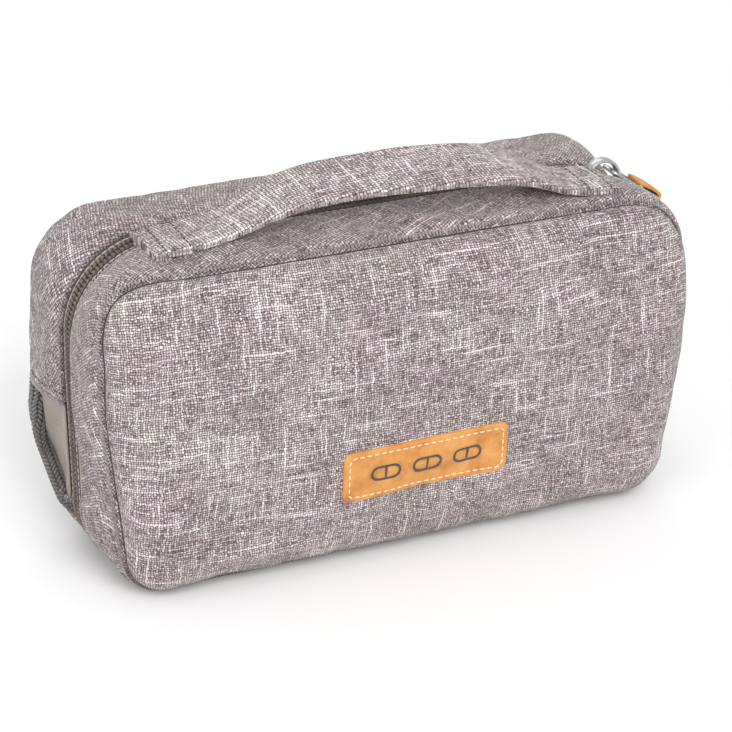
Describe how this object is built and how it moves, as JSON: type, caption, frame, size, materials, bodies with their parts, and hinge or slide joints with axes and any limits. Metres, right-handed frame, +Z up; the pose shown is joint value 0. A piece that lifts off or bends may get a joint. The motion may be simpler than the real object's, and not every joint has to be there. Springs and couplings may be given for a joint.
{
  "type": "travel pill organizer",
  "caption": "Padded fabric travel case in two zipped halves with a strap handle, holding a weekly pill tray with flip lids and a mesh pocket.",
  "frame": {"origin": "middle of the resting edge, between the two halves", "axes": "+Z up as the case stands with its handle on top, +X along the width, the labelled front half faces -Y"},
  "size_m": [0.2081, 0.0812, 0.1234],
  "materials": {
    "outer_fabric": "heather grey polyester plain weave",
    "piping": "dark grey twisted binding",
    "side_fabric": "smooth taupe fabric",
    "zip_tape": "dark taupe woven zip tape",
    "zip_coil": "nylon coil",
    "foam": "closed cell foam padding",
    "lining": "smooth lining",
    "hook_loop": "hook and loop tape",
    "label": "tan leather, blank",
    "strap": "same weave folded into a strap",
    "mesh": "elastic mesh",
    "binding": "elastic binding",
    "metal": "nickel plated zinc",
    "tab_leather": "tan leather",
    "tray": "moulded polypropylene",
    "lid_upper": "light blue polypropylene",
    "lid_lower": "darker blue polypropylene"
  },
  "bodies": {
    "back_half": {"back_panel": "outer_fabric", "back_gusset": "outer_fabric", "gusset_hems": "outer_fabric", "side_panel_left": "side_fabric", "side_panel_right": "side_fabric", "back_piping": "piping", "side_piping": "piping", "back_foam": "foam", "back_lining": "lining", "back_zip_tape": "zip_tape", "back_zip_coil": "zip_coil", "zip_stops": "metal", "hinge_strip": "outer_fabric", "tray_loop_patch": "hook_loop"},
    "front_half": {"front_panel": "outer_fabric", "front_gusset": "outer_fabric", "front_foam": "foam", "front_lining": "lining", "front_zip_tape": "zip_tape", "front_zip_coil": "zip_coil", "label_patch": "label", "handle_end_left": "strap", "handle_end_right": "strap", "handle_leg_left": "strap", "handle_leg_right": "strap", "pocket_frame": "binding", "mesh_pocket": "mesh", "pocket_elastic": "binding"},
    "handle": {"handle_grip": "strap"},
    "zip_slider": {"zip_slider": "metal"},
    "pull_link": {"pull_link": "metal"},
    "pull_tab": {"pull_tab": "tab_leather"},
    "tray": {"pill_tray": "tray", "tray_hook_patch": "hook_loop"},
    "lid_upper_1": {"lid_upper_1": "lid_upper"},
    "lid_upper_2": {"lid_upper_2": "lid_upper"},
    "lid_upper_3": {"lid_upper_3": "lid_upper"},
    "lid_upper_4": {"lid_upper_4": "lid_upper"},
    "lid_upper_5": {"lid_upper_5": "lid_upper"},
    "lid_upper_6": {"lid_upper_6": "lid_upper"},
    "lid_upper_7": {"lid_upper_7": "lid_upper"},
    "lid_lower_1": {"lid_lower_1": "lid_lower"},
    "lid_lower_2": {"lid_lower_2": "lid_lower"},
    "lid_lower_3": {"lid_lower_3": "lid_lower"},
    "lid_lower_4": {"lid_lower_4": "lid_lower"},
    "lid_lower_5": {"lid_lower_5": "lid_lower"},
    "lid_lower_6": {"lid_lower_6": "lid_lower"},
    "lid_lower_7": {"lid_lower_7": "lid_lower"}
  },
  "joints": [
    {"name": "lid_open", "type": "hinge", "parent": "back_half", "child": "front_half", "pos_m": [0, 0, 0], "axis": [1, 0, 0], "range_deg": [0, 170], "deforming": ["hinge_strip"]},
    {"name": "handle_swing", "type": "hinge", "parent": "front_half", "child": "handle", "pos_m": [0, -0.0185, 0.1102], "axis": [1, 0, 0], "range_deg": [-32, 32], "deforming": ["handle_leg_left", "handle_leg_right"]},
    {"name": "slider_travel", "type": "hinge", "parent": "back_half", "child": "zip_slider", "pos_m": [0.07, 0, 0.079], "axis": [0, 1, 0], "range_deg": [-34, 10]},
    {"name": "link_swing", "type": "hinge", "parent": "zip_slider", "child": "pull_link", "pos_m": [0.08956, 0, 0.10549], "axis": [0, -1, 0], "range_deg": [0, 110]},
    {"name": "tab_swing", "type": "hinge", "parent": "pull_link", "child": "pull_tab", "pos_m": [0.10556, 0, 0.0947], "axis": [0, -1, 0], "range_deg": [-3, 100]},
    {"name": "tray_lift", "type": "slide", "parent": "back_half", "child": "tray", "axis": [0, -1, 0], "range_m": [0, 0.03]},
    {"name": "lid_upper_1_open", "type": "hinge", "parent": "tray", "child": "lid_upper_1", "pos_m": [-0.0732, 0.0056, 0.0907], "axis": [-1, 0, 0], "range_deg": [0, 90]},
    {"name": "lid_upper_2_open", "type": "hinge", "parent": "tray", "child": "lid_upper_2", "pos_m": [-0.0488, 0.0056, 0.0907], "axis": [-1, 0, 0], "range_deg": [0, 90]},
    {"name": "lid_upper_3_open", "type": "hinge", "parent": "tray", "child": "lid_upper_3", "pos_m": [-0.0244, 0.0056, 0.0907], "axis": [-1, 0, 0], "range_deg": [0, 90]},
    {"name": "lid_upper_4_open", "type": "hinge", "parent": "tray", "child": "lid_upper_4", "pos_m": [0, 0.0056, 0.0907], "axis": [-1, 0, 0], "range_deg": [0, 90]},
    {"name": "lid_upper_5_open", "type": "hinge", "parent": "tray", "child": "lid_upper_5", "pos_m": [0.0244, 0.0056, 0.0907], "axis": [-1, 0, 0], "range_deg": [0, 90]},
    {"name": "lid_upper_6_open", "type": "hinge", "parent": "tray", "child": "lid_upper_6", "pos_m": [0.0488, 0.0056, 0.0907], "axis": [-1, 0, 0], "range_deg": [0, 90]},
    {"name": "lid_upper_7_open", "type": "hinge", "parent": "tray", "child": "lid_upper_7", "pos_m": [0.0732, 0.0056, 0.0907], "axis": [-1, 0, 0], "range_deg": [0, 90]},
    {"name": "lid_lower_1_open", "type": "hinge", "parent": "tray", "child": "lid_lower_1", "pos_m": [-0.0732, 0.0056, 0.0263], "axis": [1, 0, 0], "range_deg": [0, 90]},
    {"name": "lid_lower_2_open", "type": "hinge", "parent": "tray", "child": "lid_lower_2", "pos_m": [-0.0488, 0.0056, 0.0263], "axis": [1, 0, 0], "range_deg": [0, 90]},
    {"name": "lid_lower_3_open", "type": "hinge", "parent": "tray", "child": "lid_lower_3", "pos_m": [-0.0244, 0.0056, 0.0263], "axis": [1, 0, 0], "range_deg": [0, 90]},
    {"name": "lid_lower_4_open", "type": "hinge", "parent": "tray", "child": "lid_lower_4", "pos_m": [0, 0.0056, 0.0263], "axis": [1, 0, 0], "range_deg": [0, 90]},
    {"name": "lid_lower_5_open", "type": "hinge", "parent": "tray", "child": "lid_lower_5", "pos_m": [0.0244, 0.0056, 0.0263], "axis": [1, 0, 0], "range_deg": [0, 90]},
    {"name": "lid_lower_6_open", "type": "hinge", "parent": "tray", "child": "lid_lower_6", "pos_m": [0.0488, 0.0056, 0.0263], "axis": [1, 0, 0], "range_deg": [0, 90]},
    {"name": "lid_lower_7_open", "type": "hinge", "parent": "tray", "child": "lid_lower_7", "pos_m": [0.0732, 0.0056, 0.0263], "axis": [1, 0, 0], "range_deg": [0, 90]}
  ]
}
